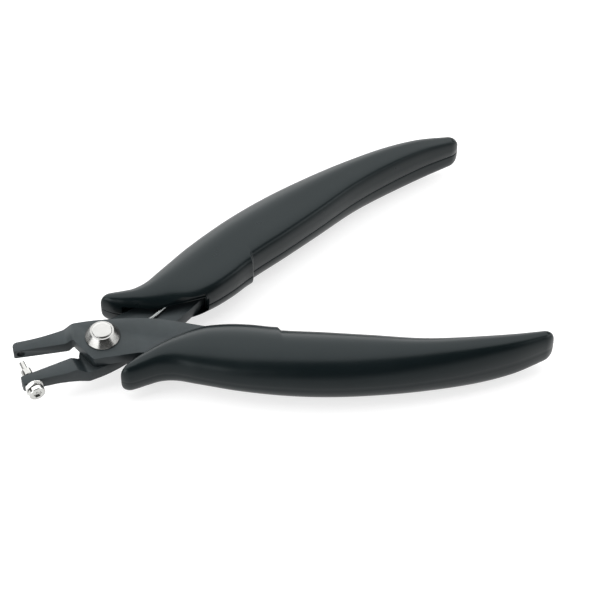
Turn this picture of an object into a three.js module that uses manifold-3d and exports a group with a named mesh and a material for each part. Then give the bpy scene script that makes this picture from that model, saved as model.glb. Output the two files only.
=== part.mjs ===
// Single-hole punch pliers: two riveted steel levers, a screw-in punch, moulded grips
// and a wire return spring. Millimetres, +Z up.
//
// Frame: the origin is the centre of the rivet's flat tail, so the pivot axis is Z.
// +X runs down the middle between the two handles, the jaws point to -X, the near
// handle lies on -Y and the far handle on +Y. The model stands at rest with the jaws
// sprung open.
//
// Each lever is drawn in its closed frame, where the two jaw faces are parallel to X,
// and then turned about the pivot. Its plan is written as (x, v), with v measured from
// the X axis towards the lever's own handle.
import * as THREE from 'three';
import { mergeVertices } from 'three/addons/utils/BufferGeometryUtils.js';
import Module from 'manifold-3d';

const wasm = await Module();
wasm.setup();

// ---------------------------------------------------------------- driving dimensions

const OPEN_ANGLE = THREE.MathUtils.degToRad(7.6); // each lever, from closed to rest
const NEAR = -1; // direction of v in Y for the lever whose handle is on -Y
const FAR = 1;

// Stack of the joint, measured up from the rivet's tail.
const TAIL_CAP = 0.9;
const WASHER = 0.6;
const LOWER_PLATE = 3.8;
const UPPER_PLATE = 3.1;
const LOWER_BOTTOM = TAIL_CAP + WASHER;
const LAP = LOWER_BOTTOM + LOWER_PLATE; // the face where the levers slide on each other
const UPPER_TOP = LAP + UPPER_PLATE;
const LAP_GAP = 0.2;

// Jaws, both centred on the lap face so that they meet in one plane.
const JAW_THICKNESS = 3.4;
const JAW_TOP = LAP + JAW_THICKNESS / 2;
const JAW_BOTTOM = LAP - JAW_THICKNESS / 2;
const JAW_THINNING = 0.3; // taken off the upper jaw towards its tip
const UPPER_TIP = -23.1;
const LOWER_TIP = -23.55;
const UPPER_FACE = -0.45; // v of the upper jaw's working face
const LOWER_FACE = -1.95;
const JAW_ROOT = -10; // x where the jaws start to step to their plates
const UPPER_SCARF = -9.3; // x where the upper jaw's underside starts to rise
const LOWER_BELLY = -14; // x where the lower jaw's underside starts to drop
const PLATE_START = -6.9;

// Rivet and washers.
const SHANK_RADIUS = 2.3;
const PIVOT_BORE = SHANK_RADIUS + 0.1;
const TAIL_RADIUS = 3;
const HEAD_RADIUS = 2.55;
const HEAD_WASHER_RADIUS = 4.55;
const HEAD_WASHER_NECK = 3.05;
const HEAD_WASHER_RIM = 0.2;
const HEAD_WASHER_HEIGHT = 2.35;
const TAIL_WASHER_RADIUS = 4;
const HEAD_HEIGHT = 0.5;
const SEAT_GAP = 0.05; // left between stacked parts

// Punch, screwed through the lower jaw; lengths run along v from the pivot's X axis.
const PUNCH_X = -21.2;
const PIN_RADIUS = 0.75;
const PIN_TIP = 3.25;
const PIN_HEAD_RADIUS = 1.1;
const PIN_HEAD_START = -3.6;
const PIN_HEAD_LENGTH = 0.8;
const THREAD_RADIUS = 1.4;
const HOLDER_FRONT = 0.55;
const HOLDER_BACK = -6.35;
const HOLDER_CHAMFER = 0.25;
const PUNCH_CLEARANCE = 0.06;
const NUT_ACROSS_FLATS = 4.4;
const NUT_FRONT = -4.92;
const NUT_THICKNESS = 1.25;
const SCREW_HEAD_RADIUS = 2.15;
const SCREW_HEAD_START = -6.42;
const SCREW_HEAD_END = -7.75;
const SOCKET_RADIUS = 1.15;
const SOCKET_DEPTH = 0.45;
const DIE_RADIUS = 1.05;

// Wire return spring: a hairpin round the rivet, in a recess under the upper blade.
const WIRE_RADIUS = 0.48;
const BEND_RADIUS = 3.2;
const WIRE_HEIGHT = LAP + 0.55;
const SPRING_LEG = [[1.6, 3.2], [5, 3.1], [8.6, 2.95], [11.2, 3], [13.8, 3.6], [17.2, 5.5], [21.4, 7.9]];
const WIRE_ROOM = 0.3;
const SPRING_LEG_ROOM_END = [22.9, 8.75];
const CLOSING_SWING = THREE.MathUtils.degToRad(13.4);

// Grips.
const GRIP_MIDDLE = UPPER_TOP - 4.15;
const GRIP_END = 114;
const GRIP_FLAT = -3; // the crowned underside is flattened where it lies on a bench
const SECTION_POWER = 2.4; // 2 is an ellipse, and more is squarer
const END_POWER = 2.9; // towards the handle ends
const CORNER_POWER = 7; // the corner beside the other handle, behind the pocket
const STEP_X = 44.4;
const STEP_DEPTH = 1.2;
const STEP_LENGTH = 0.9;
const TANG_SIDE_ROOM = 0.3;
const TANG_FACE_ROOM = 0.12;
const TANG_END = 84;
const POCKET_TOP = 1.7; // heights off the lap face
const LIP_TOP = 2;
const MOUTH_TOP = 3.9;
const LIP_STAND = 0.28; // the lip stands this far out of the wall above it

const ROUND = 40; // sides of a full circle
const GRIP_SIDES = 24;
const GRIP_STEPS = 60;

// Plans, as (x, v) points along the levers.
const UPPER_JAW_BACK = [
  [-21.6, -3.3], [-19.4, -3.45], [-17.4, -3.62], [-15.3, -3.9], [-13.1, -4.28], [-11, -4.72],
  [-8.9, -5.2], [-6.7, -5.5],
];
const LOWER_JAW_BACK = [
  [-22.2, -4.7], [-18.9, -4.85], [-17, -5.2], [-15.7, -5.4], [-14.2, -5.72], [-13, -6.02],
  [-10.9, -6.12], [-8.9, -6.25], [-6.9, -6.92],
];
const UPPER_TANG_INNER = [
  [-6.7, -5.5], [-2.5, -5.52], [1.6, -5.2], [6.4, -4.65], [12.8, -3.5], [17.7, -1.9],
  [22.6, 0.1], [27, 1.9], [36, 5.4], [48, 9.9], [60, 13.6], [72, 17], [TANG_END, 19.6],
];
const LOWER_TANG_INNER = [
  [-6.7, -6.95], [-2.5, -6.95], [1.6, -6.45], [6.4, -5.4], [12.8, -3.9], [17.7, -2.35],
  [22.6, -0.4], [27, 1.5], [36, 5.4], [48, 9.9], [60, 13.6], [72, 17], [TANG_END, 19.6],
];
const TANG_OUTER = [
  [2, 6.7], [8.4, 6.95], [14, 8], [22, 9.6], [30, 11.8], [40, 14.6], [50, 17.4], [60, 19.4],
  [72, 21.4], [TANG_END, 22.6],
];
const GRIP_OUTER = [
  [2, 12.6], [4, 13.1], [6.5, 13.1], [9.5, 12.5], [13, 11.95], [17, 12.6], [22, 14.8],
  [32, 18.9], [44, 22.45], [56, 25], [68, 26.4], [80, 26.9], [92, 26.5], [103, 25.05],
  [112, 22.6], [115, 21.6],
];
const GRIP_INNER = [
  [2, 11.2], [3.4, 10.3], [4.9, 9.2], [6.6, 8.05], [8.6, 6.8], [11.4, 5.45], [14.2, 3.95],
  [18.3, 2.15], [22.4, 0.8], [27, 0.15], [32, 0.8], [38, 2.7], [44, 5.15], [56, 8.25],
  [68, 11.6], [80, 15.17], [92, 17.45], [103, 18.7], [112, 18.9], [115, 19],
];
const GRIP_HALF_HEIGHT = [
  [2, 4.5], [8, 5], [18, 5.7], [30, 6.5], [44, 7.2], [60, 7.33], [90, 7.3], [102, 6.6],
  [112, 5.2], [115, 4.8],
];
const GUARD_REACH = { [NEAR]: 2.9, [FAR]: 4.2 }; // x of each guard's tip
const GUARD_ROOT = 14; // the guards differ only in front of this

// ---------------------------------------------------------------- geometry helpers

// A smooth curve v(x) through the given points.
function curveThrough(points) {
  const slope = (i) => {
    const a = points[Math.max(i - 1, 0)];
    const b = points[Math.min(i + 1, points.length - 1)];
    return (b[1] - a[1]) / (b[0] - a[0]);
  };
  return (x) => {
    let i = 0;
    while (i < points.length - 2 && x > points[i + 1][0]) i += 1;
    const [x0, v0] = points[i];
    const [x1, v1] = points[i + 1];
    const span = x1 - x0;
    const t = (x - x0) / span;
    const t2 = t * t;
    const t3 = t2 * t;
    return (2 * t3 - 3 * t2 + 1) * v0 + (t3 - 2 * t2 + t) * span * slope(i)
      + (3 * t2 - 2 * t3) * v1 + (t3 - t2) * span * slope(i + 1);
  };
}

// Points of v(x) from one x to another.
function sample(curve, from, to, steps) {
  return Array.from({ length: steps + 1 }, (_, i) => {
    const x = from + ((to - from) * i) / steps;
    return [x, curve(x)];
  });
}

function arc(centreX, centreV, radius, fromDegrees, toDegrees, steps) {
  return Array.from({ length: steps + 1 }, (_, i) => {
    const angle = THREE.MathUtils.degToRad(fromDegrees + ((toDegrees - fromDegrees) * i) / steps);
    return [centreX + radius * Math.cos(angle), centreV + radius * Math.sin(angle)];
  });
}

function toSolid(geometry) {
  const bare = geometry.clone();
  bare.deleteAttribute('normal');
  bare.deleteAttribute('uv');
  const merged = mergeVertices(bare, 1e-4);
  return new wasm.Manifold(new wasm.Mesh({
    numProp: 3,
    vertProperties: new Float32Array(merged.attributes.position.array),
    triVerts: new Uint32Array(merged.index.array),
  }));
}

function toGeometry(solid) {
  const mesh = solid.getMesh();
  const geometry = new THREE.BufferGeometry();
  geometry.setAttribute('position', new THREE.BufferAttribute(mesh.vertProperties, 3));
  geometry.setIndex(new THREE.BufferAttribute(mesh.triVerts, 1));
  return geometry;
}

// A plan of (x, v) points, extruded between two heights, for one side's lever.
function slab(points, side, bottom, top) {
  const shape = new THREE.Shape(points.map(([x, v]) => new THREE.Vector2(x, side * v)));
  const geometry = new THREE.ExtrudeGeometry(shape, { depth: top - bottom, bevelEnabled: false });
  return toSolid(geometry.translate(0, 0, bottom));
}

// A side view of (x, z) points, extruded across the whole lever.
function sideProfile(points) {
  const width = 60;
  const shape = new THREE.Shape(points.map(([x, z]) => new THREE.Vector2(x, z)));
  const geometry = new THREE.ExtrudeGeometry(shape, { depth: width, bevelEnabled: false });
  return toSolid(geometry.rotateX(Math.PI / 2).translate(0, width / 2, 0));
}

// A turned part on the pivot axis, from (radius, z) points.
function turned(points, sides = ROUND) {
  const profile = points.map(([radius, z]) => new THREE.Vector2(radius, z));
  const geometry = new THREE.LatheGeometry(profile, sides);
  return geometry.rotateX(Math.PI / 2);
}

// A turned part on the punch axis, from (radius, v) points of the far lever.
function turnedOnPunch(points, sides = ROUND) {
  const profile = points.map(([radius, v]) => new THREE.Vector2(radius, v));
  return new THREE.LatheGeometry(profile, sides).translate(PUNCH_X, 0, LAP);
}

// A cylinder along Y at the punch's place, used as a cutter.
function punchHole(radius, fromY, toY) {
  const length = toY - fromY;
  const geometry = new THREE.CylinderGeometry(radius, radius, length, ROUND);
  return toSolid(geometry.translate(PUNCH_X, fromY + length / 2, LAP));
}

function pivotHole(radius, bottom, top) {
  const height = top - bottom;
  const geometry = new THREE.CylinderGeometry(radius, radius, height, ROUND);
  return toSolid(geometry.rotateX(Math.PI / 2).translate(0, 0, bottom + height / 2));
}

// ---------------------------------------------------------------- levers

// An S-shaped step from one height to another, as (x, z) points.
function step(fromX, fromZ, toX, toZ) {
  const steps = 8;
  return Array.from({ length: steps + 1 }, (_, i) => {
    const t = i / steps;
    return [fromX + (toX - fromX) * t, fromZ + (toZ - fromZ) * THREE.MathUtils.smoothstep(t, 0, 1)];
  });
}

function tangOutline(inner, margin) {
  const innerCurve = curveThrough(inner);
  const outerCurve = curveThrough(TANG_OUTER);
  const start = 2;
  const lower = sample(innerCurve, start, TANG_END + margin, 28).map(([x, v]) => [x, v - margin]);
  const upper = sample(outerCurve, TANG_END + margin, start, 24).map(([x, v]) => [x, v + margin]);
  return [...lower, ...upper];
}

// The whole plan of a lever blade: jaw, pivot plate and tang.
function bladeOutline(tip, face, jawBack, tangInner, cornerV) {
  const backStart = jawBack[0];
  const innerCurve = curveThrough(tangInner);
  const outerCurve = curveThrough(TANG_OUTER);
  const cornerRadius = 0.5;
  return [
    ...arc(tip + cornerRadius, face - cornerRadius, cornerRadius, 90, 180, 4),
    [tip, backStart[1] + 1.4],
    ...arc(backStart[0] - 0.2, backStart[1] + 1.3, 1.3, 180, 265, 5),
    ...sample(curveThrough(jawBack), backStart[0] + 0.3, -6.9, 12),
    ...sample(innerCurve, -6.5, TANG_END, 34),
    ...sample(outerCurve, TANG_END, 8.4, 26),
    [2, cornerV],
    ...arc(-2.9, cornerV - 0.6, 0.6, 90, 150, 4),
    [-7.3, face + 0.75],
    ...arc(-7.95, face + 0.65, 0.65, 0, -90, 4),
  ];
}

// Plan of the room a spring leg needs, at rest and after swinging by an angle.
function legRoom(side, swing) {
  const room = WIRE_RADIUS + WIRE_ROOM;
  const leg = [...SPRING_LEG, SPRING_LEG_ROOM_END];
  const outer = leg.map(([x, y]) => [x, y + room]);
  const inner = leg.map(([x, y]) => {
    const swungX = x * Math.cos(swing) + y * Math.sin(swing);
    const swungY = y * Math.cos(swing) - x * Math.sin(swing);
    return [swungX, swungY - room];
  });
  return [...outer, ...inner.reverse()].map(([x, y]) => [x, side * y]);
}

// The room is laid out at rest, so the cutter is turned back into the near lever's frame.
function nearLeverCutter(points, bottom, top) {
  const degrees = THREE.MathUtils.radToDeg(NEAR * OPEN_ANGLE);
  return slab(points, FAR, bottom, top).rotate([0, 0, -degrees]);
}

function upperBlade() {
  const bottom = LAP + LAP_GAP / 2;
  const profile = sideProfile([
    [-30, JAW_BOTTOM + JAW_THINNING],
    ...step(UPPER_SCARF, JAW_BOTTOM, PLATE_START, bottom),
    [TANG_END + 1, bottom],
    [TANG_END + 1, UPPER_TOP],
    ...step(PLATE_START, UPPER_TOP, JAW_ROOT, JAW_TOP - JAW_THINNING / 2),
    [-30, JAW_TOP - JAW_THINNING],
  ]);
  const ceiling = WIRE_HEIGHT + WIRE_RADIUS + WIRE_ROOM;
  const bend = pivotHole(BEND_RADIUS + WIRE_RADIUS + WIRE_ROOM, LAP - 1, ceiling);
  const nearLeg = nearLeverCutter(legRoom(NEAR, 0), LAP - 1, ceiling);
  const farLeg = nearLeverCutter(legRoom(FAR, CLOSING_SWING), LAP - 1, ceiling);
  const blade = slab(bladeOutline(UPPER_TIP, UPPER_FACE, UPPER_JAW_BACK, UPPER_TANG_INNER, 6.95),
    NEAR, JAW_BOTTOM - 1, UPPER_TOP + 1)
    .intersect(profile)
    .subtract(pivotHole(PIVOT_BORE, 0, 12))
    .subtract(bend)
    .subtract(nearLeg)
    .subtract(farLeg)
    .subtract(punchHole(DIE_RADIUS, -1, 8));
  return toGeometry(blade);
}

function lowerBlade() {
  const outline = bladeOutline(LOWER_TIP, LOWER_FACE, LOWER_JAW_BACK, LOWER_TANG_INNER, 6.5);
  const top = LAP - LAP_GAP / 2;
  const profile = sideProfile([
    [-30, JAW_BOTTOM],
    ...step(LOWER_BELLY, JAW_BOTTOM - 0.12, PLATE_START, LOWER_BOTTOM),
    [TANG_END + 1, LOWER_BOTTOM],
    [TANG_END + 1, top],
    ...step(PLATE_START, top, JAW_ROOT, JAW_TOP),
    [-30, JAW_TOP - 0.1],
  ]);
  const blade = slab(outline, FAR, LOWER_BOTTOM - 1, JAW_TOP + 1)
    .intersect(profile)
    .subtract(pivotHole(PIVOT_BORE, 0, 12))
    .subtract(punchHole(THREAD_RADIUS + PUNCH_CLEARANCE, -10, 0));
  return toGeometry(blade);
}

// ---------------------------------------------------------------- grips

const gripOuter = curveThrough(GRIP_OUTER);
const gripInner = curveThrough(GRIP_INNER);
const gripHalfHeight = curveThrough(GRIP_HALF_HEIGHT);

// The inner edge stands out in front of the step and drops back behind it.
function innerEdge(x) {
  const past = THREE.MathUtils.clamp((x - STEP_X) / STEP_LENGTH, 0, 1);
  const before = THREE.MathUtils.clamp((x - 30) / (STEP_X - 30), 0, 1);
  return gripInner(x) - STEP_DEPTH * before * (1 - past);
}

// Fraction of the full section left near a rounded end, d millimetres from it.
function endRounding(distance, radius) {
  const inside = 1 - Math.min(distance / radius, 1);
  return Math.sqrt(Math.max(1 - inside * inside, 0));
}

// The two grips are one moulding turned over, so the square corner is on top of the far grip
// and under the near one.
function sectionPower(x, across, up, side) {
  const behindPocket = THREE.MathUtils.smoothstep(x, 20, 33);
  const towardsEnd = THREE.MathUtils.smoothstep(x, 80, 110);
  return across < 0 && up * side > 0
    ? THREE.MathUtils.lerp(SECTION_POWER, CORNER_POWER, behindPocket)
    : THREE.MathUtils.lerp(SECTION_POWER, END_POWER, towardsEnd);
}

// A superellipse section at x, as a point for an angle round the grip.
function gripPoint(x, angle, side) {
  const tip = GUARD_REACH[side];
  const tipRound = 2.6;
  const endRound = 2.6;
  const toFront = x - tip;
  const toBack = GRIP_END - x;
  const drawnX = x < GUARD_ROOT
    ? GUARD_ROOT - ((GUARD_ROOT - x) * (GUARD_ROOT - 3)) / (GUARD_ROOT - tip)
    : x;
  const plan = Math.max(Math.min(endRounding(toFront, tipRound), endRounding(toBack, endRound)), 0.02);
  const outer = gripOuter(drawnX);
  const inner = innerEdge(drawnX);
  const halfWidth = ((outer - inner) / 2) * plan;
  const halfHeight = gripHalfHeight(drawnX) * Math.max(plan, 0.02) ** 0.5;
  const power = sectionPower(x, Math.cos(angle), Math.sin(angle), side);
  const bulge = (value) => Math.sign(value) * Math.abs(value) ** (2 / power);
  return [
    x,
    side * ((outer + inner) / 2 + halfWidth * bulge(Math.cos(angle))),
    GRIP_MIDDLE + halfHeight * bulge(Math.sin(angle)),
  ];
}

// Stations crowd towards both ends and round the step.
function gripStation(t, side) {
  const tip = GUARD_REACH[side];
  const eased = t - Math.sin(2 * Math.PI * t) / (2 * Math.PI);
  const spread = 0.35 * t + 0.65 * eased;
  return tip + (GRIP_END - tip) * spread;
}

// A cylinder whose rings are moved to the grip's sections.
function gripBody(side) {
  const geometry = new THREE.CylinderGeometry(1, 1, 1, GRIP_SIDES, GRIP_STEPS);
  const position = geometry.attributes.position;
  for (let i = 0; i < position.count; i += 1) {
    const t = position.getY(i) + 0.5;
    const ring = Math.hypot(position.getX(i), position.getZ(i));
    const angle = Math.atan2(side * position.getX(i), position.getZ(i));
    const x = gripStation(t, side);
    const [px, py, pz] = gripPoint(x, angle, side);
    const [cx, cy, cz] = [x, side * (gripOuter(x) + innerEdge(x)) / 2, GRIP_MIDDLE];
    position.setXYZ(i, ring < 0.5 ? cx : px, ring < 0.5 ? cy : py, ring < 0.5 ? cz : pz);
  }
  return toSolid(geometry);
}

// Inside a grip are a slot for the steel tang and a pocket for the spring's leg, both open
// at the mouth. A lip runs along the pocket's edge, and the wall is set back behind it.
const POCKET_PLAN = [
  [7.5, -8], [31.6, -6], [30.1, 0.6], [29.6, 2.2], [28.4, 5], [25.5, 7.2], [20, 8.2], [14, 8.6],
  [10.5, 8.9], [8.4, 7.9],
];
const LIP_LINE = [
  [29.4, 0.9], [28.7, 1.08], [26.5, 1.4], [23.4, 1.83], [19.3, 2.4], [15.6, 3.35], [13.4, 4],
  [11.6, 4.7], [9.1, 5.7], [7.4, 6.8], [5, 8.6],
];
const TANG_EXIT = [
  [21, -5], [30.1, -5], [30, 0.6], [29.8, 1.8], [29.3, 3], [26, 3.4], [21, 0.5],
];

// A cut in a grip, reaching from one distance off the lap face to another.
function gripCut(plan, side, from, to) {
  const away = side === NEAR ? -1 : 1;
  const heights = [LAP + away * from, LAP + away * to];
  return slab(plan, side, Math.min(...heights), Math.max(...heights));
}

function grip(side) {
  const onTop = side === NEAR;
  const tangBottom = onTop ? LAP + LAP_GAP / 2 : LOWER_BOTTOM;
  const tangTop = onTop ? UPPER_TOP : LAP - LAP_GAP / 2;
  const inner = onTop ? UPPER_TANG_INNER : LOWER_TANG_INNER;
  const slot = slab(
    tangOutline(inner, TANG_SIDE_ROOM), side, tangBottom - TANG_FACE_ROOM, tangTop + TANG_FACE_ROOM,
  );
  const beyondLip = (stand) => [[29.4, -8], ...LIP_LINE.map(([x, v]) => [x, v + stand]), [5, -8]];
  const pocket = gripCut(POCKET_PLAN, side, -LAP_GAP, POCKET_TOP);
  const lip = gripCut(beyondLip(0), side, POCKET_TOP - 0.1, LIP_TOP);
  const wall = gripCut(beyondLip(LIP_STAND), side, LIP_TOP - 0.01, MOUTH_TOP);
  const exit = slab(TANG_EXIT, side, tangBottom - TANG_FACE_ROOM, tangTop + TANG_FACE_ROOM);
  const bench = slab([[-5, -10], [120, -10], [120, 40], [-5, 40]], side, -20, GRIP_FLAT);
  const body = gripBody(side)
    .subtract(slot)
    .subtract(pocket)
    .subtract(lip)
    .subtract(wall)
    .subtract(exit)
    .subtract(bench);
  return toGeometry(body);
}

// ---------------------------------------------------------------- pivot, punch, spring

function pivotRivet() {
  const chamfer = 0.3;
  const neck = UPPER_TOP + HEAD_WASHER_HEIGHT + SEAT_GAP;
  const crown = neck + HEAD_HEIGHT;
  return turned([
    [0, 0],
    [TAIL_RADIUS - chamfer, 0],
    [TAIL_RADIUS, chamfer],
    [TAIL_RADIUS, TAIL_CAP - SEAT_GAP],
    [SHANK_RADIUS, TAIL_CAP - SEAT_GAP],
    [SHANK_RADIUS, neck],
    [HEAD_RADIUS, neck],
    [HEAD_RADIUS, neck + 0.12],
    [HEAD_RADIUS * 0.93, neck + 0.25],
    [HEAD_RADIUS * 0.75, neck + 0.37],
    [HEAD_RADIUS * 0.45, crown - 0.04],
    [0, crown],
  ]);
}

function headWasher() {
  const base = UPPER_TOP + SEAT_GAP;
  return turned([
    [PIVOT_BORE, base],
    [HEAD_WASHER_RADIUS, base],
    [HEAD_WASHER_RADIUS, base + HEAD_WASHER_RIM],
    [HEAD_WASHER_NECK, UPPER_TOP + HEAD_WASHER_HEIGHT],
    [PIVOT_BORE, UPPER_TOP + HEAD_WASHER_HEIGHT],
    [PIVOT_BORE, base],
  ]);
}

function tailWasher() {
  const chamfer = 0.15;
  return turned([
    [PIVOT_BORE, TAIL_CAP],
    [TAIL_WASHER_RADIUS - chamfer, TAIL_CAP],
    [TAIL_WASHER_RADIUS, TAIL_CAP + chamfer],
    [TAIL_WASHER_RADIUS, LOWER_BOTTOM - SEAT_GAP],
    [PIVOT_BORE, LOWER_BOTTOM - SEAT_GAP],
    [PIVOT_BORE, TAIL_CAP],
  ]);
}

function punchPin() {
  return turnedOnPunch([
    [0, PIN_HEAD_START - PIN_HEAD_LENGTH],
    [PIN_HEAD_RADIUS, PIN_HEAD_START - PIN_HEAD_LENGTH],
    [PIN_HEAD_RADIUS, PIN_HEAD_START],
    [PIN_RADIUS, PIN_HEAD_START],
    [PIN_RADIUS, PIN_TIP],
    [0, PIN_TIP],
  ]);
}

function punchHolder() {
  const pinBore = PIN_RADIUS + 0.08;
  const screwBore = PIN_HEAD_RADIUS + 0.08;
  return turnedOnPunch([
    [screwBore, HOLDER_BACK],
    [THREAD_RADIUS - HOLDER_CHAMFER / 2, HOLDER_BACK],
    [THREAD_RADIUS, HOLDER_BACK + HOLDER_CHAMFER / 2],
    [THREAD_RADIUS, HOLDER_FRONT - HOLDER_CHAMFER],
    [THREAD_RADIUS - HOLDER_CHAMFER, HOLDER_FRONT],
    [pinBore, HOLDER_FRONT],
    [pinBore, PIN_HEAD_START + 0.05],
    [screwBore, PIN_HEAD_START + 0.05],
    [screwBore, HOLDER_BACK],
  ]);
}

function backingScrew() {
  const front = PIN_HEAD_START - PIN_HEAD_LENGTH - 0.05;
  const chamfer = 0.2;
  const body = toSolid(turnedOnPunch([
    [0, SCREW_HEAD_END],
    [SCREW_HEAD_RADIUS - chamfer, SCREW_HEAD_END],
    [SCREW_HEAD_RADIUS, SCREW_HEAD_END + chamfer],
    [SCREW_HEAD_RADIUS, SCREW_HEAD_START],
    [PIN_HEAD_RADIUS, SCREW_HEAD_START],
    [PIN_HEAD_RADIUS, front],
    [0, front],
  ]));
  const socket = new THREE.CylinderGeometry(SOCKET_RADIUS, SOCKET_RADIUS, 2 * SOCKET_DEPTH, 6);
  return toGeometry(body.subtract(toSolid(socket.translate(PUNCH_X, SCREW_HEAD_END, LAP))));
}

function lockNut() {
  const corner = NUT_ACROSS_FLATS / 2 / Math.cos(Math.PI / 6);
  const middle = NUT_FRONT - NUT_THICKNESS / 2;
  const hex = new THREE.CylinderGeometry(corner, corner, NUT_THICKNESS, 6);
  const body = toSolid(hex.translate(PUNCH_X, middle, LAP));
  const bore = THREAD_RADIUS + PUNCH_CLEARANCE;
  const cut = punchHole(bore, middle - NUT_THICKNESS, middle + NUT_THICKNESS);
  return toGeometry(body.subtract(cut));
}

// Wire from the end of the far leg, round the front of the rivet, to the near leg's end.
function returnSpring() {
  const farLeg = SPRING_LEG.map(([x, y]) => {
    return new THREE.Vector3(x, y, WIRE_HEIGHT);
  });
  const nearLeg = SPRING_LEG.map(([x, y]) => new THREE.Vector3(x, -y, WIRE_HEIGHT));
  const bend = arc(0, 0, BEND_RADIUS, 90, 270, 10)
    .map(([x, y]) => new THREE.Vector3(x, y, WIRE_HEIGHT));
  const path = new THREE.CatmullRomCurve3([...farLeg.reverse(), ...bend, ...nearLeg]);
  const wire = new THREE.Shape();
  wire.absarc(0, 0, WIRE_RADIUS, 0, 2 * Math.PI);
  return new THREE.ExtrudeGeometry(wire, {
    steps: 80,
    curveSegments: 10,
    bevelEnabled: false,
    extrudePath: path,
  });
}

// ---------------------------------------------------------------- materials and assembly

const blackSteel = { color: 0x4a4f52, roughness: 0.5, metalness: 0.6 };
const nickel = { color: 0xc9cac6, roughness: 0.2, metalness: 1 };
const softGrip = { color: 0x2b2f31, roughness: 0.65, metalness: 0 };
const springSteel = { color: 0x9aa0a2, roughness: 0.3, metalness: 1 };

function part(name, geometry, finish) {
  const mesh = new THREE.Mesh(geometry, new THREE.MeshStandardMaterial(finish));
  mesh.name = name;
  return mesh;
}

const nearLever = new THREE.Group();
nearLever.rotation.z = NEAR * OPEN_ANGLE;
nearLever.add(
  part('upper_blade', upperBlade(), blackSteel),
  part('near_grip', grip(NEAR), softGrip),
);

const farLever = new THREE.Group();
farLever.rotation.z = FAR * OPEN_ANGLE;
farLever.add(
  part('lower_blade', lowerBlade(), blackSteel),
  part('far_grip', grip(FAR), softGrip),
  part('punch_pin', punchPin(), nickel),
  part('punch_holder', punchHolder(), nickel),
  part('backing_screw', backingScrew(), nickel),
  part('lock_nut', lockNut(), nickel),
);

const pliers = new THREE.Group();
pliers.add(
  nearLever,
  farLever,
  part('pivot_rivet', pivotRivet(), nickel),
  part('head_washer', headWasher(), nickel),
  part('tail_washer', tailWasher(), nickel),
  part('return_spring', returnSpring(), springSteel),
);

export default pliers;
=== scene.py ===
"""Single-hole punch pliers: the looks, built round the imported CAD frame. Metres, +Z up."""

import math

import bmesh
import bpy
import numpy as np
from mathutils import Matrix, Vector


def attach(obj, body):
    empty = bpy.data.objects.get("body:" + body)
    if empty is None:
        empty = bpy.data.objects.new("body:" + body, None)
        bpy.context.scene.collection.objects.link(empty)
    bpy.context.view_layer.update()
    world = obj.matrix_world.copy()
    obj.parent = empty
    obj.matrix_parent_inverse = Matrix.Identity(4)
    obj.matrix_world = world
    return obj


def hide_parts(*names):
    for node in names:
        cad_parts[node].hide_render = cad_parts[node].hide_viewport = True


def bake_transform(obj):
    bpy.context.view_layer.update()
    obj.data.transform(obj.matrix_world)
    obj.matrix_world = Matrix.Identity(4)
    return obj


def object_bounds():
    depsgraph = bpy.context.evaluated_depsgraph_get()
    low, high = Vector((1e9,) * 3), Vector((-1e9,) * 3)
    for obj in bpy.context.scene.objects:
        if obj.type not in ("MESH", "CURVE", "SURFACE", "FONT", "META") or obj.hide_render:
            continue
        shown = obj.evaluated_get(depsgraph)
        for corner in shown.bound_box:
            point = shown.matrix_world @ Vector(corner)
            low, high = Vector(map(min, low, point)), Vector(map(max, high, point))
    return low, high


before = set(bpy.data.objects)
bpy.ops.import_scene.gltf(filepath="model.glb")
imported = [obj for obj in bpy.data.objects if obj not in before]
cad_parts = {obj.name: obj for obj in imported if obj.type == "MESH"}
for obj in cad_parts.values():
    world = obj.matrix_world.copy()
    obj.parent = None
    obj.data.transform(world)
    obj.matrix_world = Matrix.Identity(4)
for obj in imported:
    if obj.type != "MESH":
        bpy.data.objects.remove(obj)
CAD_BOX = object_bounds()

MM = 0.001
OPEN_ANGLE = math.radians(7.6)
NEAR, FAR = -1, 1
LAP = 5.3
UPPER_TOP = 8.4
LOWER_BOTTOM = 1.5
PUNCH_X = -21.2
COOL_TINT = (0.90, 0.98, 1.0, 1.0)


# ------------------------------------------------------------------ mesh helpers

def new_object(name, verts, faces, smooth_angle=35):
    """A mesh object from points in millimetres."""
    mesh = bpy.data.meshes.new(name)
    mesh.from_pydata([tuple(c * MM for c in v) for v in verts], [], faces)
    mesh.validate()
    ob = bpy.data.objects.new(name, mesh)
    bpy.context.collection.objects.link(ob)
    tidy_mesh(ob, smooth_angle)
    return ob


def tidy_mesh(ob, smooth_angle=35):
    """Normals out, smooth faces, sharp edges kept sharp."""
    bm = bmesh.new()
    bm.from_mesh(ob.data)
    bmesh.ops.remove_doubles(bm, verts=bm.verts, dist=1e-7)
    bmesh.ops.recalc_face_normals(bm, faces=bm.faces)
    limit = math.radians(smooth_angle)
    for face in bm.faces:
        face.smooth = True
    for edge in bm.edges:
        edge.smooth = not (len(edge.link_faces) == 2 and edge.calc_face_angle(0) > limit)
    bm.to_mesh(ob.data)
    bm.free()


def apply_modifiers(ob):
    dg = bpy.context.evaluated_depsgraph_get()
    mesh = bpy.data.meshes.new_from_object(ob.evaluated_get(dg))
    ob.modifiers.clear()
    ob.data = mesh
    return ob


def turn(ob, angle):
    ob.data.transform(Matrix.Rotation(angle, 4, "Z"))
    return ob


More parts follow.
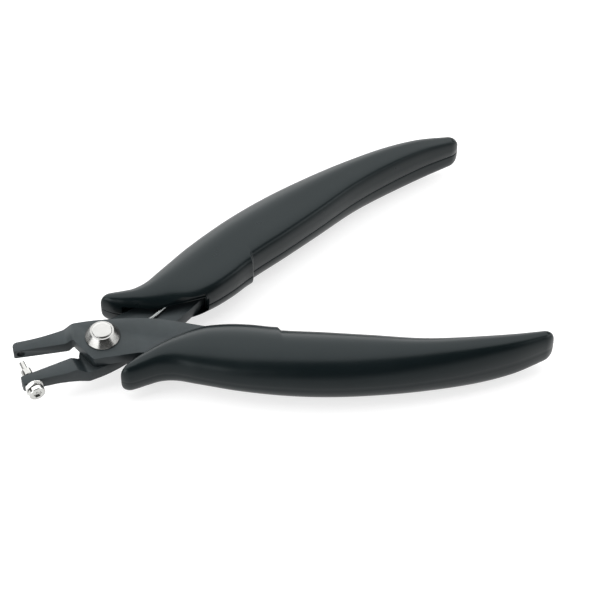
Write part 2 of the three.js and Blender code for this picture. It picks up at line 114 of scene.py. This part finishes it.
def lathe(name, profile, sides=96, smooth_angle=30):
    """A turned piece on Z from (radius, z) points. An end off the axis closes as a ring."""
    verts, faces, rings = [], [], []
    for r, z in profile:
        if r < 1e-6:
            rings.append([len(verts)])
            verts.append((0, 0, z))
            continue
        ring = []
        for i in range(sides):
            a = 2 * math.pi * i / sides
            ring.append(len(verts))
            verts.append((r * math.cos(a), r * math.sin(a), z))
        rings.append(ring)
    closed = len(rings[0]) > 1 and len(rings[-1]) > 1
    pairs = list(zip(rings, rings[1:]))
    if closed:
        pairs.append((rings[-1], rings[0]))
    for low, high in pairs:
        for i in range(sides):
            j = (i + 1) % sides
            if len(low) == 1:
                faces.append((low[0], high[i], high[j]))
            elif len(high) == 1:
                faces.append((low[i], low[j], high[0]))
            else:
                faces.append((low[i], low[j], high[j], high[i]))
    return new_object(name, verts, faces, smooth_angle)


def on_punch_axis(ob):
    """Moves a piece built on Z to the punch axis, where its z becomes the far lever's v."""
    ob.data.transform(Matrix.Rotation(-math.pi / 2, 4, "X"))
    ob.data.transform(Matrix.Translation((PUNCH_X * MM, 0, LAP * MM)))
    return turn(ob, OPEN_ANGLE)


def fillet(points, radius, steps=4):
    """Rounds the corners of an open run of (radius, z) points."""
    out = [points[0]]
    for i in range(1, len(points) - 1):
        p, a, b = (Vector(points[k]).to_2d() for k in (i, i - 1, i + 1))
        la, lb = (a - p).length, (b - p).length
        d = min(radius, la * 0.45, lb * 0.45)
        start, end = p + (a - p) / la * d, p + (b - p) / lb * d
        for k in range(steps + 1):
            t = k / steps
            q = start * (1 - t) ** 2 + p * 2 * t * (1 - t) + end * t * t
            out.append(tuple(q))
    out.append(points[-1])
    return out


def curve_through(points):
    """A smooth v(x) through the given points."""
    def slope(i):
        a, b = points[max(i - 1, 0)], points[min(i + 1, len(points) - 1)]
        return (b[1] - a[1]) / (b[0] - a[0])

    def value(x):
        i = 0
        while i < len(points) - 2 and x > points[i + 1][0]:
            i += 1
        (x0, v0), (x1, v1) = points[i], points[i + 1]
        span = x1 - x0
        t = (x - x0) / span
        return ((2 * t**3 - 3 * t**2 + 1) * v0 + (t**3 - 2 * t**2 + t) * span * slope(i)
                + (3 * t**2 - 2 * t**3) * v1 + (t**3 - t**2) * span * slope(i + 1))
    return value


def plan_cutter(points, side, bottom, top):
    """A prism over a plan of (x, v) points, used to cut."""
    n = len(points)
    verts = [(x, side * v, bottom) for x, v in points] + [(x, side * v, top) for x, v in points]
    faces = [tuple(range(n)), tuple(range(n, 2 * n))]
    faces += [(i, (i + 1) % n, n + (i + 1) % n, n + i) for i in range(n)]
    return new_object("cutter", verts, faces)


def cut(ob, cutters):
    for cutter in cutters:
        m = ob.modifiers.new("cut", "BOOLEAN")
        m.operation = "DIFFERENCE"
        m.solver = "EXACT"
        m.object = cutter
    apply_modifiers(ob)
    for cutter in cutters:
        bpy.data.objects.remove(cutter)
    return ob


# ------------------------------------------------------------------ materials

class Nodes:
    """A short way to write a node material."""

    def __init__(self, name):
        self.mat = bpy.data.materials.new(name)
        self.mat.use_nodes = True
        self.tree = self.mat.node_tree
        self.bsdf = self.tree.nodes["Principled BSDF"]
        self.coords = self.add("ShaderNodeTexCoord").outputs["Object"]

    def add(self, kind, **settings):
        node = self.tree.nodes.new(kind)
        for key, value in settings.items():
            setattr(node, key, value)
        return node

    def link(self, a, b):
        self.tree.links.new(a, b)

    def scaled(self, x, y, z):
        node = self.add("ShaderNodeMapping")
        node.inputs["Scale"].default_value = (x, y, z)
        self.link(self.coords, node.inputs["Vector"])
        return node.outputs["Vector"]

    def noise(self, scale, detail=4, rough=0.55, vector=None):
        node = self.add("ShaderNodeTexNoise")
        node.inputs["Scale"].default_value = scale
        node.inputs["Detail"].default_value = detail
        node.inputs["Roughness"].default_value = rough
        self.link(vector or self.coords, node.inputs["Vector"])
        return node.outputs["Fac"]

    def ramp(self, fac, stops):
        node = self.add("ShaderNodeValToRGB")
        ramp = node.color_ramp
        while len(ramp.elements) < len(stops):
            ramp.elements.new(0.5)
        for element, (pos, value) in zip(ramp.elements, stops):
            element.position = pos
            element.color = (*value, 1)
        self.link(fac, node.inputs["Fac"])
        return node.outputs["Color"]

    def span(self, fac, low, high, from_low, from_high):
        """Stretches fac from its own range onto low to high."""
        node = self.add("ShaderNodeMapRange")
        for key, value in (("From Min", from_low), ("From Max", from_high),
                           ("To Min", low), ("To Max", high)):
            node.inputs[key].default_value = value
        self.link(fac, node.inputs["Value"])
        return node.outputs["Result"]

    def mix(self, fac, a, b):
        """Mixes the colour output a towards the plain colour b."""
        node = self.add("ShaderNodeMix", data_type="RGBA")
        self.link(fac, node.inputs[0])
        self.link(a, node.inputs[6])
        node.inputs[7].default_value = (*b, 1)
        return node.outputs[2]

    def bump(self, height, strength, distance, normal=None):
        node = self.add("ShaderNodeBump")
        node.inputs["Strength"].default_value = strength
        node.inputs["Distance"].default_value = distance
        self.link(height, node.inputs["Height"])
        if normal is not None:
            self.link(normal, node.inputs["Normal"])
        return node.outputs["Normal"]

    def set(self, **values):
        for key, value in values.items():
            socket = self.bsdf.inputs[key.replace("_", " ")]
            if hasattr(value, "links"):
                self.link(value, socket)
            else:
                socket.default_value = value
        return self.mat


def black_steel():
    n = Nodes("black_oxide_steel")
    mottle = n.noise(190, 5, 0.6)
    grain = n.noise(2600, 3, 0.6)
    streaks = n.noise(500, 3, 0.5, n.scaled(0.12, 1, 1))
    tone = n.ramp(mottle, [(0.3, (0.008, 0.011, 0.012)), (0.7, (0.013, 0.017, 0.019))])
    rough = n.span(streaks, 0.34, 0.44, 0.3, 0.7)
    normal = n.bump(grain, 0.22, 0.00005, n.bump(mottle, 0.1, 0.0001))
    return n.set(Base_Color=tone, Roughness=rough, Metallic=0.0, Specular_IOR_Level=0.24,
                 Specular_Tint=COOL_TINT, Normal=normal)


def soft_grip():
    n = Nodes("soft_touch_grip")
    cloud = n.noise(45, 3, 0.5)
    grain = n.noise(5200, 2, 0.6)
    tone = n.ramp(cloud, [(0.3, (0.0025, 0.0050, 0.0056)), (0.7, (0.0045, 0.0072, 0.0080))])
    rough = n.span(n.noise(120, 4, 0.6), 0.27, 0.33, 0.3, 0.7)
    normal = n.bump(grain, 0.2, 0.00004)
    return n.set(Base_Color=tone, Roughness=rough, Specular_IOR_Level=0.17,
                 Specular_Tint=COOL_TINT, Normal=normal)


def nickel(name, low, high, level, turned=0.0):
    n = Nodes(name)
    haze = n.noise(260, 4, 0.6)
    fine = n.noise(1800, 3, 0.6)
    tone = n.ramp(haze, [(0.3, (0.90 * level, 0.90 * level, 0.87 * level)),
                         (0.7, (level, level, 0.97 * level))])
    dark = n.mix(n.span(n.noise(900, 5, 0.7), 0, 0.4, 0.62, 0.78), tone,
                 (0.5 * level, 0.5 * level, 0.48 * level))
    rough = n.span(haze, low, high, 0.3, 0.7)
    normal = n.bump(fine, 0.06, 0.00003)
    if turned:
        wave = n.add("ShaderNodeTexWave", wave_type="BANDS", bands_direction="Z")
        wave.inputs["Scale"].default_value = 1300
        wave.inputs["Distortion"].default_value = 0.4
        n.link(n.coords, wave.inputs["Vector"])
        normal = n.bump(wave.outputs["Fac"], turned, 0.00003, normal)
    return n.set(Base_Color=dark, Roughness=rough, Metallic=1.0, Normal=normal)


def spring_steel():
    n = Nodes("drawn_spring_wire")
    haze = n.noise(400, 4, 0.6)
    tone = n.ramp(haze, [(0.3, (0.17, 0.18, 0.18)), (0.7, (0.24, 0.25, 0.25))])
    rough = n.span(n.noise(1500, 3, 0.5), 0.22, 0.36, 0.3, 0.7)
    return n.set(Base_Color=tone, Roughness=rough, Metallic=1.0,
                 Normal=n.bump(n.noise(2500, 2), 0.08, 0.00003))


BLACK = black_steel()
GRIP = soft_grip()
BRIGHT = nickel("bright_nickel", 0.10, 0.20, 0.50)
TURNED = nickel("turned_nickel", 0.16, 0.28, 0.48)
PUNCH = nickel("ground_nickel", 0.12, 0.22, 0.28)
SATIN = nickel("satin_nickel", 0.16, 0.26, 0.28)
CONE = nickel("machined_nickel", 0.18, 0.28, 0.25, 0.35)
WIRE = spring_steel()


def finish_piece(ob, material, slot, body, *nodes):
    ob.data.materials.clear()
    ob.data.materials.append(material)
    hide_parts(*nodes)
    if body:
        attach(ob, body)
    return ob


# ------------------------------------------------------------------ blades

EDGE_BREAK = 0.22


def bevelled_copy(node, name):
    """A copy of a CAD blade with its edges broken, as tumbled stampings have."""
    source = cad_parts[node]
    mesh = source.data.copy()
    mesh.transform(source.matrix_world)
    ob = bpy.data.objects.new(name, mesh)
    bpy.context.collection.objects.link(ob)
    bm = bmesh.new()
    bm.from_mesh(mesh)
    bmesh.ops.remove_doubles(bm, verts=bm.verts, dist=2e-6)
    bmesh.ops.dissolve_limit(bm, angle_limit=math.radians(0.6), verts=bm.verts, edges=bm.edges)
    bm.to_mesh(mesh)
    bm.free()
    m = ob.modifiers.new("bevel", "BEVEL")
    m.width = EDGE_BREAK * MM
    m.segments = 3
    m.limit_method = "ANGLE"
    m.angle_limit = math.radians(32)
    m.use_clamp_overlap = True
    apply_modifiers(ob)
    tidy_mesh(ob, 28)
    return ob


upper = bevelled_copy("upper_blade", "upper_blade_steel")
lower = bevelled_copy("lower_blade", "lower_blade_steel")
finish_piece(upper, BLACK, "black_steel", "near_lever", "upper_blade")
finish_piece(lower, BLACK, "black_steel", "far_lever", "lower_blade")


# ------------------------------------------------------------------ grips

GRIP_MIDDLE = UPPER_TOP - 4.15
GRIP_END = 114.0
GRIP_FLAT = -3.0
GRIP_SIDES, GRIP_LENGTHS = 128, 200
END_ROUND = 2.6
TANG_END = 84
SECTION_POWER, END_POWER, CORNER_POWER = 2.4, 2.9, 7
STEP_X, STEP_DEPTH, STEP_LENGTH = 44.4, 1.2, 0.9
SEAM_DEPTH, SEAM_WIDTH = 0.15, 0.024
OUTER_SEAM_SHARE = 0.4
SEAM_POINTS = (0.045, 0.022, -0.022, -0.045)
GUARD_ROOT = 14
GUARD_REACH = {NEAR: 2.9, FAR: 4.2}
GRIP_OUTER = [
    (2, 12.6), (4, 13.1), (6.5, 13.1), (9.5, 12.5), (13, 11.95), (17, 12.6), (22, 14.8),
    (32, 18.9), (44, 22.45), (56, 25), (68, 26.4), (80, 26.9), (92, 26.5), (103, 25.05),
    (112, 22.6), (115, 21.6)]
GRIP_INNER = [
    (2, 11.2), (3.4, 10.3), (4.9, 9.2), (6.6, 8.05), (8.6, 6.8), (11.4, 5.45), (14.2, 3.95),
    (18.3, 2.15), (22.4, 0.8), (27, 0.15), (32, 0.8), (38, 2.7), (44, 5.15), (56, 8.25),
    (68, 11.6), (80, 15.17), (92, 17.45), (103, 18.7), (112, 18.9), (115, 19)]
GRIP_HALF_HEIGHT = [
    (2, 4.5), (8, 5), (18, 5.7), (30, 6.5), (44, 7.2), (60, 7.33), (90, 7.3), (102, 6.6),
    (112, 5.2), (115, 4.8)]
UPPER_TANG_INNER = [
    (-6.7, -5.5), (-2.5, -5.52), (1.6, -5.2), (6.4, -4.65), (12.8, -3.5), (17.7, -1.9),
    (22.6, 0.1), (27, 1.9), (36, 5.4), (48, 9.9), (60, 13.6), (72, 17), (84, 19.6)]
LOWER_TANG_INNER = [
    (-6.7, -6.95), (-2.5, -6.95), (1.6, -6.45), (6.4, -5.4), (12.8, -3.9), (17.7, -2.35),
    (22.6, -0.4), (27, 1.5), (36, 5.4), (48, 9.9), (60, 13.6), (72, 17), (84, 19.6)]
TANG_OUTER = [
    (2, 6.7), (8.4, 6.95), (14, 8), (22, 9.6), (30, 11.8), (40, 14.6), (50, 17.4),
    (60, 19.4), (72, 21.4), (84, 22.6)]
POCKET_PLAN = [
    (7.5, -8), (31.6, -6), (30.1, 0.6), (29.6, 2.2), (28.4, 5), (25.5, 7.2), (20, 8.2),
    (14, 8.6), (10.5, 8.9), (8.4, 7.9)]
LIP_LINE = [
    (29.4, 0.9), (28.7, 1.08), (26.5, 1.4), (23.4, 1.83), (19.3, 2.4), (15.6, 3.35), (13.4, 4),
    (11.6, 4.7), (9.1, 5.7), (7.4, 6.8), (5, 8.6)]
TANG_EXIT = [
    (21, -5), (30.1, -5), (30, 0.6), (29.8, 1.8), (29.3, 3), (26, 3.4), (21, 0.5)]
TANG_SIDE_ROOM, TANG_FACE_ROOM, LAP_GAP = 0.3, 0.12, 0.2
POCKET_TOP, LIP_TOP, MOUTH_TOP, LIP_STAND = 1.7, 2.0, 3.9, 0.28

grip_outer = curve_through(GRIP_OUTER)
grip_inner = curve_through(GRIP_INNER)
grip_half_height = curve_through(GRIP_HALF_HEIGHT)


def smooth_step(t):
    t = min(max(t, 0), 1)
    return t * t * (3 - 2 * t)


def inner_edge(x):
    """The grip's inner edge, proud of its curve up to the small step."""
    past = smooth_step((x - STEP_X) / STEP_LENGTH)
    before = min(max((x - 30) / (STEP_X - 30), 0), 1)
    return grip_inner(x) - STEP_DEPTH * before * (1 - past)


def end_rounding(distance, radius):
    """The share of the full width at a distance from a rounded end."""
    inside = 1 - min(distance / radius, 1)
    return math.sqrt(max(1 - inside * inside, 0))


def section_power(x, across, up, side):
    """The square corner is on top of the far grip and under the near one."""
    if across < 0 and up * side > 0:
        return SECTION_POWER + (CORNER_POWER - SECTION_POWER) * smooth_step((x - 20) / 13)
    return SECTION_POWER + (END_POWER - SECTION_POWER) * smooth_step((x - 80) / 30)


def bulge(value, power):
    return math.copysign(abs(value) ** (2 / power), value)


def ring_turns(x, side):
    """(cos, sin) round a section, closer together at the inner side's parting line."""
    turns = []
    for i in range(GRIP_SIDES):
        a = 2 * math.pi * i / GRIP_SIDES
        turns.append((math.cos(a), math.sin(a)))
    beside = []
    for lift in SEAM_POINTS:
        s = math.copysign(abs(lift) ** (section_power(x, -1, lift, side) / 2), lift)
        beside.append((-math.sqrt(1 - s * s), s))
    half = GRIP_SIDES // 2
    return turns[:half] + beside[:2] + turns[half:half + 1] + beside[2:] + turns[half + 1:]


def grip_ring(x, side):
    """One section of a grip: a superellipse between its edges, with the parting groove."""
    tip = GUARD_REACH[side]
    drawn = x
    if x < GUARD_ROOT:
        drawn = GUARD_ROOT - (GUARD_ROOT - x) * (GUARD_ROOT - 3) / (GUARD_ROOT - tip)
    rounding = min(end_rounding(x - tip, END_ROUND), end_rounding(GRIP_END - x, END_ROUND))
    plan = max(rounding, 0.02)
    outer, inner = grip_outer(drawn), inner_edge(drawn)
    middle = (outer + grip_inner(drawn)) / 2
    half_height = grip_half_height(drawn) * plan**0.5
    ring = []
    for c, s in ring_turns(x, side):
        half_width = (outer - middle if c > 0 else middle - inner) * plan
        power = section_power(x, c, s, side)
        seam_depth = SEAM_DEPTH if c < 0 else SEAM_DEPTH * OUTER_SEAM_SHARE
        seam = seam_depth * math.exp(-((bulge(s, power) / SEAM_WIDTH) ** 2))
        groove = 1 - seam / max(half_width, 1)
        v = middle + half_width * bulge(c, power) * groove
        z = GRIP_MIDDLE + half_height * bulge(s, power)
        ring.append((x, side * v, max(z, GRIP_FLAT)))
    return ring


def grip_stations(side):
    """Where the sections stand: closer at the ends and at the step."""
    tip = GUARD_REACH[side]
    xs = []
    for i in range(GRIP_LENGTHS + 1):
        t = i / GRIP_LENGTHS
        eased = t - math.sin(2 * math.pi * t) / (2 * math.pi)
        xs.append(tip + (GRIP_END - tip) * (0.35 * t + 0.65 * eased))
    step = [STEP_X + STEP_LENGTH * k / 6 for k in range(-2, 9)]
    inset = [END_ROUND * (1 - math.cos(k * math.pi / 24)) for k in range(1, 12)]
    ends = [tip + d for d in inset] + [GRIP_END - d for d in inset]
    return sorted(set(xs + step + ends))


def grip_cutters(side):
    """What is cut from a grip: the tang's slot, and the pocket that clears the other lever."""
    on_top = side == NEAR
    away = -1 if on_top else 1
    bottom = (LAP + LAP_GAP / 2 if on_top else LOWER_BOTTOM) - TANG_FACE_ROOM
    top = (UPPER_TOP if on_top else LAP - LAP_GAP / 2) + TANG_FACE_ROOM
    inner = curve_through(UPPER_TANG_INNER if on_top else LOWER_TANG_INNER)
    outer = curve_through(TANG_OUTER)
    room = TANG_SIDE_ROOM
    plan = [(x, inner(x) - room) for x in np.linspace(2, TANG_END + room, 60)]
    plan += [(x, outer(x) + room) for x in np.linspace(TANG_END + room, 2, 40)]

    def off_lap(points, start, end):
        z = sorted((LAP + away * start, LAP + away * end))
        return plan_cutter(points, side, *z)

    def beyond_lip(stand):
        return [(29.4, -8)] + [(x, v + stand) for x, v in LIP_LINE] + [(5, -8)]
    return [
        plan_cutter(plan, side, bottom, top),
        off_lap(POCKET_PLAN, -LAP_GAP, POCKET_TOP),
        off_lap(beyond_lip(0), POCKET_TOP - 0.1, LIP_TOP),
        off_lap(beyond_lip(LIP_STAND), LIP_TOP - 0.01, MOUTH_TOP),
        plan_cutter(TANG_EXIT, side, bottom, top),
    ]


def make_grip(name, side):
    rings = [grip_ring(x, side) for x in grip_stations(side)]
    sides = len(rings[0])
    verts = [v for ring in rings for v in ring]
    faces = []
    for r in range(len(rings) - 1):
        for i in range(sides):
            j = (i + 1) % sides
            faces.append((r * sides + i, r * sides + j, (r + 1) * sides + j, (r + 1) * sides + i))
    faces.append(tuple(range(sides)))
    last = (len(rings) - 1) * sides
    faces.append(tuple(last + i for i in range(sides)))
    ob = new_object(name, verts, faces, 60)
    cut(ob, grip_cutters(side))
    tidy_mesh(ob, 40)
    return turn(ob, side * OPEN_ANGLE)


near_grip = make_grip("near_grip_moulding", NEAR)
finish_piece(near_grip, GRIP, "grip_plastic", "near_lever", "near_grip")
far_grip = make_grip("far_grip_moulding", FAR)
finish_piece(far_grip, GRIP, "grip_plastic", "far_lever", "far_grip")


# ------------------------------------------------------------------ rivet and washers

SHANK, BORE, HEAD = 2.3, 2.4, 2.55
NECK = UPPER_TOP + 2.35
CROWN = NECK + 0.05 + 0.5


def dome(radius, top, start, steps=12):
    """(radius, z) points of a domed crown from its edge to the axis."""
    out = []
    for i in range(steps + 1):
        a = math.pi / 2 * i / steps
        out.append((radius * math.cos(a) ** 0.85 if i < steps else 0,
                    start + (top - start) * math.sin(a)))
    return out


rivet = lathe("rivet_domed", fillet([
    (0, 0), (2.7, 0), (3, 0.3), (3, 0.85), (SHANK, 0.85), (SHANK, NECK + 0.05),
    (HEAD, NECK + 0.05), (HEAD, NECK + 0.15)], 0.04) + dome(HEAD, CROWN, NECK + 0.15)[1:], 128)
finish_piece(rivet, SATIN, "nickel", "near_lever", "pivot_rivet")

cone = lathe("cone_washer", fillet([
    (BORE, UPPER_TOP + 0.05), (4.55, UPPER_TOP + 0.05), (4.55, UPPER_TOP + 0.25),
    (3.05, NECK), (BORE, NECK)], 0.1), 128)
finish_piece(cone, CONE, "nickel", "near_lever", "head_washer")

flat = lathe("flat_washer", fillet([
    (BORE, 0.9), (3.85, 0.9), (4, 1.05), (4, 1.45), (BORE, 1.45)], 0.06), 128)
finish_piece(flat, TURNED, "nickel", "near_lever", "tail_washer")


# ------------------------------------------------------------------ punch

def rings_to_mesh(name, rings, sides, smooth_angle, closed, cap=False):
    """A turned piece whose rings may be any shape: each is (v, radius of the angle)."""
    verts, faces, starts = [], [], []
    for v, radius in rings:
        starts.append(len(verts))
        for i in range(sides):
            a = 2 * math.pi * i / sides
            r = radius(a) if callable(radius) else radius
            verts.append((r * math.cos(a), r * math.sin(a), v))
    if closed:
        starts.append(starts[0])
    for s, e in zip(starts, starts[1:]):
        for i in range(sides):
            j = (i + 1) % sides
            faces.append((s + i, s + j, e + j, e + i))
    if cap:
        faces.append(tuple(range(starts[0], starts[0] + sides)))
        faces.append(tuple(range(starts[-1], starts[-1] + sides)))
    return new_object(name, verts, faces, smooth_angle)


def threaded_sleeve():
    """A sleeve with a plain nose and a real helical thread behind it."""
    front, seat, back = 0.55, -1.7, -6.35
    outer, root = 1.4, 1.23
    pin_bore, screw_bore, bore_step = 0.83, 1.18, -3.55
    pitch, sides = 0.5, 64

    def crest(v):
        def radius(a):
            phase = (v / pitch - a / (2 * math.pi)) % 1
            tooth = 1 - abs(2 * phase - 1)
            r = root + (outer - root) * min(1, max(0, (tooth - 0.12) / 0.72))
            return min(r, max(root, outer - 0.2 + (v - back)))
        return radius
    steps = int((seat - back) / pitch * 12)
    rows = [back + (seat - back) * k / steps for k in range(steps + 1)]
    rings = [(back, screw_bore)] + [(v, crest(v)) for v in rows]
    rings += [(seat + 0.1, outer - 0.1), (seat + 0.2, outer), (front - 0.24, outer),
              (front - 0.16, outer - 0.03), (front - 0.06, outer - 0.12), (front, outer - 0.24),
              (front, pin_bore + 0.1), (front - 0.1, pin_bore), (bore_step, pin_bore),
              (bore_step, screw_bore)]
    return rings_to_mesh("threaded_sleeve", rings, sides, 40, True)


def hex_nut():
    """A hex nut with both faces chamfered."""
    flats, front, thick, bore = 4.4, -4.92, 1.25, 1.46
    back = front - thick

    def chamfered(v):
        depth = min(v - back, front - v)

        def radius(a):
            local = (a + math.pi / 6) % (math.pi / 3) - math.pi / 6
            return min(flats / 2 / math.cos(local), flats / 2 - 0.02 + depth * 1.9)
        return radius
    levels = [back, back + 0.06, back + 0.13, back + 0.2, back + 0.3]
    levels += [front - 0.3, front - 0.2, front - 0.13, front - 0.06, front]
    rings = [(back + 0.18, bore), (back, bore + 0.16)] + [(v, chamfered(v)) for v in levels]
    rings += [(front, bore + 0.16), (front - 0.18, bore)]
    return rings_to_mesh("hex_lock_nut", rings, 96, 25, True)


def socket_screw():
    """The backing screw: a round head with a hexagon socket, and a plain shank."""
    end, seat, front = -7.75, -6.42, -4.45
    head, shank, socket, depth = 2.15, 1.1, 1.15, 0.45

    def hexagon(grow):
        def radius(a):
            local = a % (math.pi / 3) - math.pi / 6
            return socket * math.cos(math.pi / 6) / math.cos(local) + grow
        return radius
    rings = [(end + depth - 0.25, 0.06), (end + depth - 0.22, 0.2), (end + depth, 0.42),
             (end + depth, hexagon(-0.06)), (end + depth - 0.06, hexagon(0)),
             (end + 0.1, hexagon(0)), (end, hexagon(0.1)), (end, head - 0.26),
             (end + 0.08, head - 0.1), (end + 0.22, head), (seat - 0.1, head),
             (seat, head - 0.1), (seat, shank), (front - 0.1, shank), (front, shank - 0.1)]
    return rings_to_mesh("socket_screw", rings, 96, 25, False, cap=True)


pin = lathe("punch_pin_ground", fillet([
    (0, -4.4), (1.0, -4.4), (1.1, -4.3), (1.1, -3.6), (0.75, -3.6), (0.75, 3.25), (0.55, 3.25),
    (0.4, 3.1), (0, 3.05)], 0.04, 3), 64)
finish_piece(on_punch_axis(pin), PUNCH, "nickel", "pin", "punch_pin")
finish_piece(on_punch_axis(threaded_sleeve()), PUNCH, "nickel", "far_lever", "punch_holder")
finish_piece(on_punch_axis(hex_nut()), BRIGHT, "nickel", "nut", "lock_nut")
finish_piece(on_punch_axis(socket_screw()), TURNED, "nickel", "screw", "backing_screw")


# ------------------------------------------------------------------ return spring

WIRE_RADIUS, BEND_RADIUS = 0.48, 3.2
SPRING_LEG = [
    (1.6, 3.2), (5, 3.1), (8.6, 2.95), (11.2, 3), (13.8, 3.6), (17.2, 5.5), (21.4, 7.9)]


def spring_path():
    """From the far leg's end, round the rivet, to the near leg's end."""
    height = LAP + 0.55
    far = [(x, y, height) for x, y in SPRING_LEG]
    near = [(x, -y, height) for x, y in SPRING_LEG]
    bend = []
    for i in range(11):
        a = math.radians(90 + 18 * i)
        bend.append((BEND_RADIUS * math.cos(a), BEND_RADIUS * math.sin(a), height))
    return [Vector(p) for p in far[::-1] + bend + near]


def smooth_path(points, per_span=10):
    """A Catmull-Rom curve through the points."""
    out = []
    for i in range(len(points) - 1):
        p0, p1 = points[max(i - 1, 0)], points[i]
        p2, p3 = points[i + 1], points[min(i + 2, len(points) - 1)]
        for k in range(per_span):
            t = k / per_span
            out.append(0.5 * (2 * p1 + (p2 - p0) * t + (2 * p0 - 5 * p1 + 4 * p2 - p3) * t * t
                              + (3 * p1 - p0 - 3 * p2 + p3) * t**3))
    out.append(points[-1])
    return out


def wire(name, points, radius, sides=28):
    """A round wire along a path, with rounded cut ends."""
    verts, faces = [], []
    up = Vector((0, 0, 1))
    stations = []
    for i, p in enumerate(points):
        tangent = (points[min(i + 1, len(points) - 1)] - points[max(i - 1, 0)]).normalized()
        stations.append((p, tangent, radius))

    def cap(station, way, shares):
        p, tangent, r = station
        return [(p + tangent * way * r * 0.5 * math.sqrt(1 - c * c), tangent, r * c)
                for c in shares]
    head = cap(stations[0], -1, (0.2, 0.6, 0.85))
    tail = cap(stations[-1], 1, (0.85, 0.6, 0.2))
    stations = head + stations + tail
    for p, tangent, r in stations:
        side = tangent.cross(up).normalized()
        other = side.cross(tangent)
        for k in range(sides):
            a = 2 * math.pi * k / sides
            verts.append(tuple(p + side * r * math.cos(a) + other * r * math.sin(a)))
    for s in range(len(stations) - 1):
        for k in range(sides):
            j = (k + 1) % sides
            faces.append((s * sides + k, s * sides + j, (s + 1) * sides + j, (s + 1) * sides + k))
    faces.append(tuple(range(sides)))
    faces.append(tuple((len(stations) - 1) * sides + k for k in range(sides)))
    return new_object(name, verts, faces, 70)


spring = wire("spring_wire", smooth_path(spring_path()), WIRE_RADIUS)
finish_piece(spring, WIRE, "spring_steel", None, "return_spring")
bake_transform(spring)


# ------------------------------------------------------------------ floor, light, camera

FLOOR_GAP = 0.02
FLOOR_REACH = 30.0


def make_floor():
    """A wide white sheet a hair under the grips."""
    low = min(CAD_BOX[0].z, 0) - FLOOR_GAP * MM
    size = FLOOR_REACH
    mesh = bpy.data.meshes.new("floor")
    mesh.from_pydata([(-size, -size, low), (size, -size, low), (size, size, low),
                      (-size, size, low)], [], [(0, 1, 2, 3)])
    ob = bpy.data.objects.new("floor", mesh)
    bpy.context.collection.objects.link(ob)
    n = Nodes("white_paper")
    tone = n.ramp(n.noise(30, 2), [(0.3, (0.40, 0.40, 0.40)), (0.7, (0.41, 0.41, 0.41))])
    ob.data.materials.append(n.set(Base_Color=tone, Roughness=0.9, Emission_Color=(1, 1, 1, 1),
                                   Emission_Strength=0.66))


def area_light(name, location, target, size, size_y, power):
    """A rectangular soft light that faces its target."""
    data = bpy.data.lights.new(name, "AREA")
    data.shape = "RECTANGLE"
    data.size, data.size_y = size, size_y
    data.energy = power
    ob = bpy.data.objects.new(name, data)
    ob.location = location
    ob.rotation_mode = "QUATERNION"
    ob.rotation_quaternion = (Vector(target) - Vector(location)).to_track_quat("-Z", "Y")
    bpy.context.collection.objects.link(ob)


CAMERA_AZIMUTH, CAMERA_ELEVATION = math.radians(18.19), math.radians(51.54)
CAMERA_AIM, CAMERA_DISTANCE = Vector((50.28, -8.92, 14.13)), 600
LENS, SENSOR = 140.58, 36


def make_camera():
    """A long lens without roll, looking down on the tool from the near lever's side."""
    a, e = CAMERA_AZIMUTH, CAMERA_ELEVATION
    right = Vector((math.cos(a), -math.sin(a), 0))
    forward = Vector((math.sin(a) * math.cos(e), math.cos(a) * math.cos(e), -math.sin(e)))
    up = right.cross(forward)
    centre = CAMERA_AIM - forward * CAMERA_DISTANCE
    data = bpy.data.cameras.new("camera")
    data.sensor_width = SENSOR
    data.lens = LENS
    data.clip_start, data.clip_end = 0.01, 100
    ob = bpy.data.objects.new("camera", data)
    basis = Matrix((right, up, -forward)).transposed().to_4x4()
    ob.matrix_world = Matrix.Translation(centre * MM) @ basis
    bpy.context.collection.objects.link(ob)
    bpy.context.scene.camera = ob


make_floor()
area_light("softbox", (0.0, 0.50, 0.60), (0.0, 0.50, 0.0), 1.9, 1.10, 21.0)
area_light("back_card", (0.0, 1.15, 0.31), (0.0, 0.0, 0.06), 2.2, 0.60, 17.0)
area_light("left_card", (-0.60, -0.22, 0.24), (0.0, 0.0, 0.0), 0.70, 0.44, 4.6)
area_light("right_card", (0.70, -0.22, 0.28), (0.0, 0.0, 0.0), 0.70, 0.44, 3.4)
area_light("low_front_card", (0.0, -1.2, 0.15), (0.0, 0.0, 0.02), 2.2, 0.3, 1.1)
bpy.context.scene.view_settings.view_transform = "Standard"
world = bpy.data.worlds.new("studio")
world.use_nodes = True
world.node_tree.nodes["Background"].inputs["Color"].default_value = (1, 1, 1, 1)
world.node_tree.nodes["Background"].inputs["Strength"].default_value = 0.02
bpy.context.scene.world = world
make_camera()
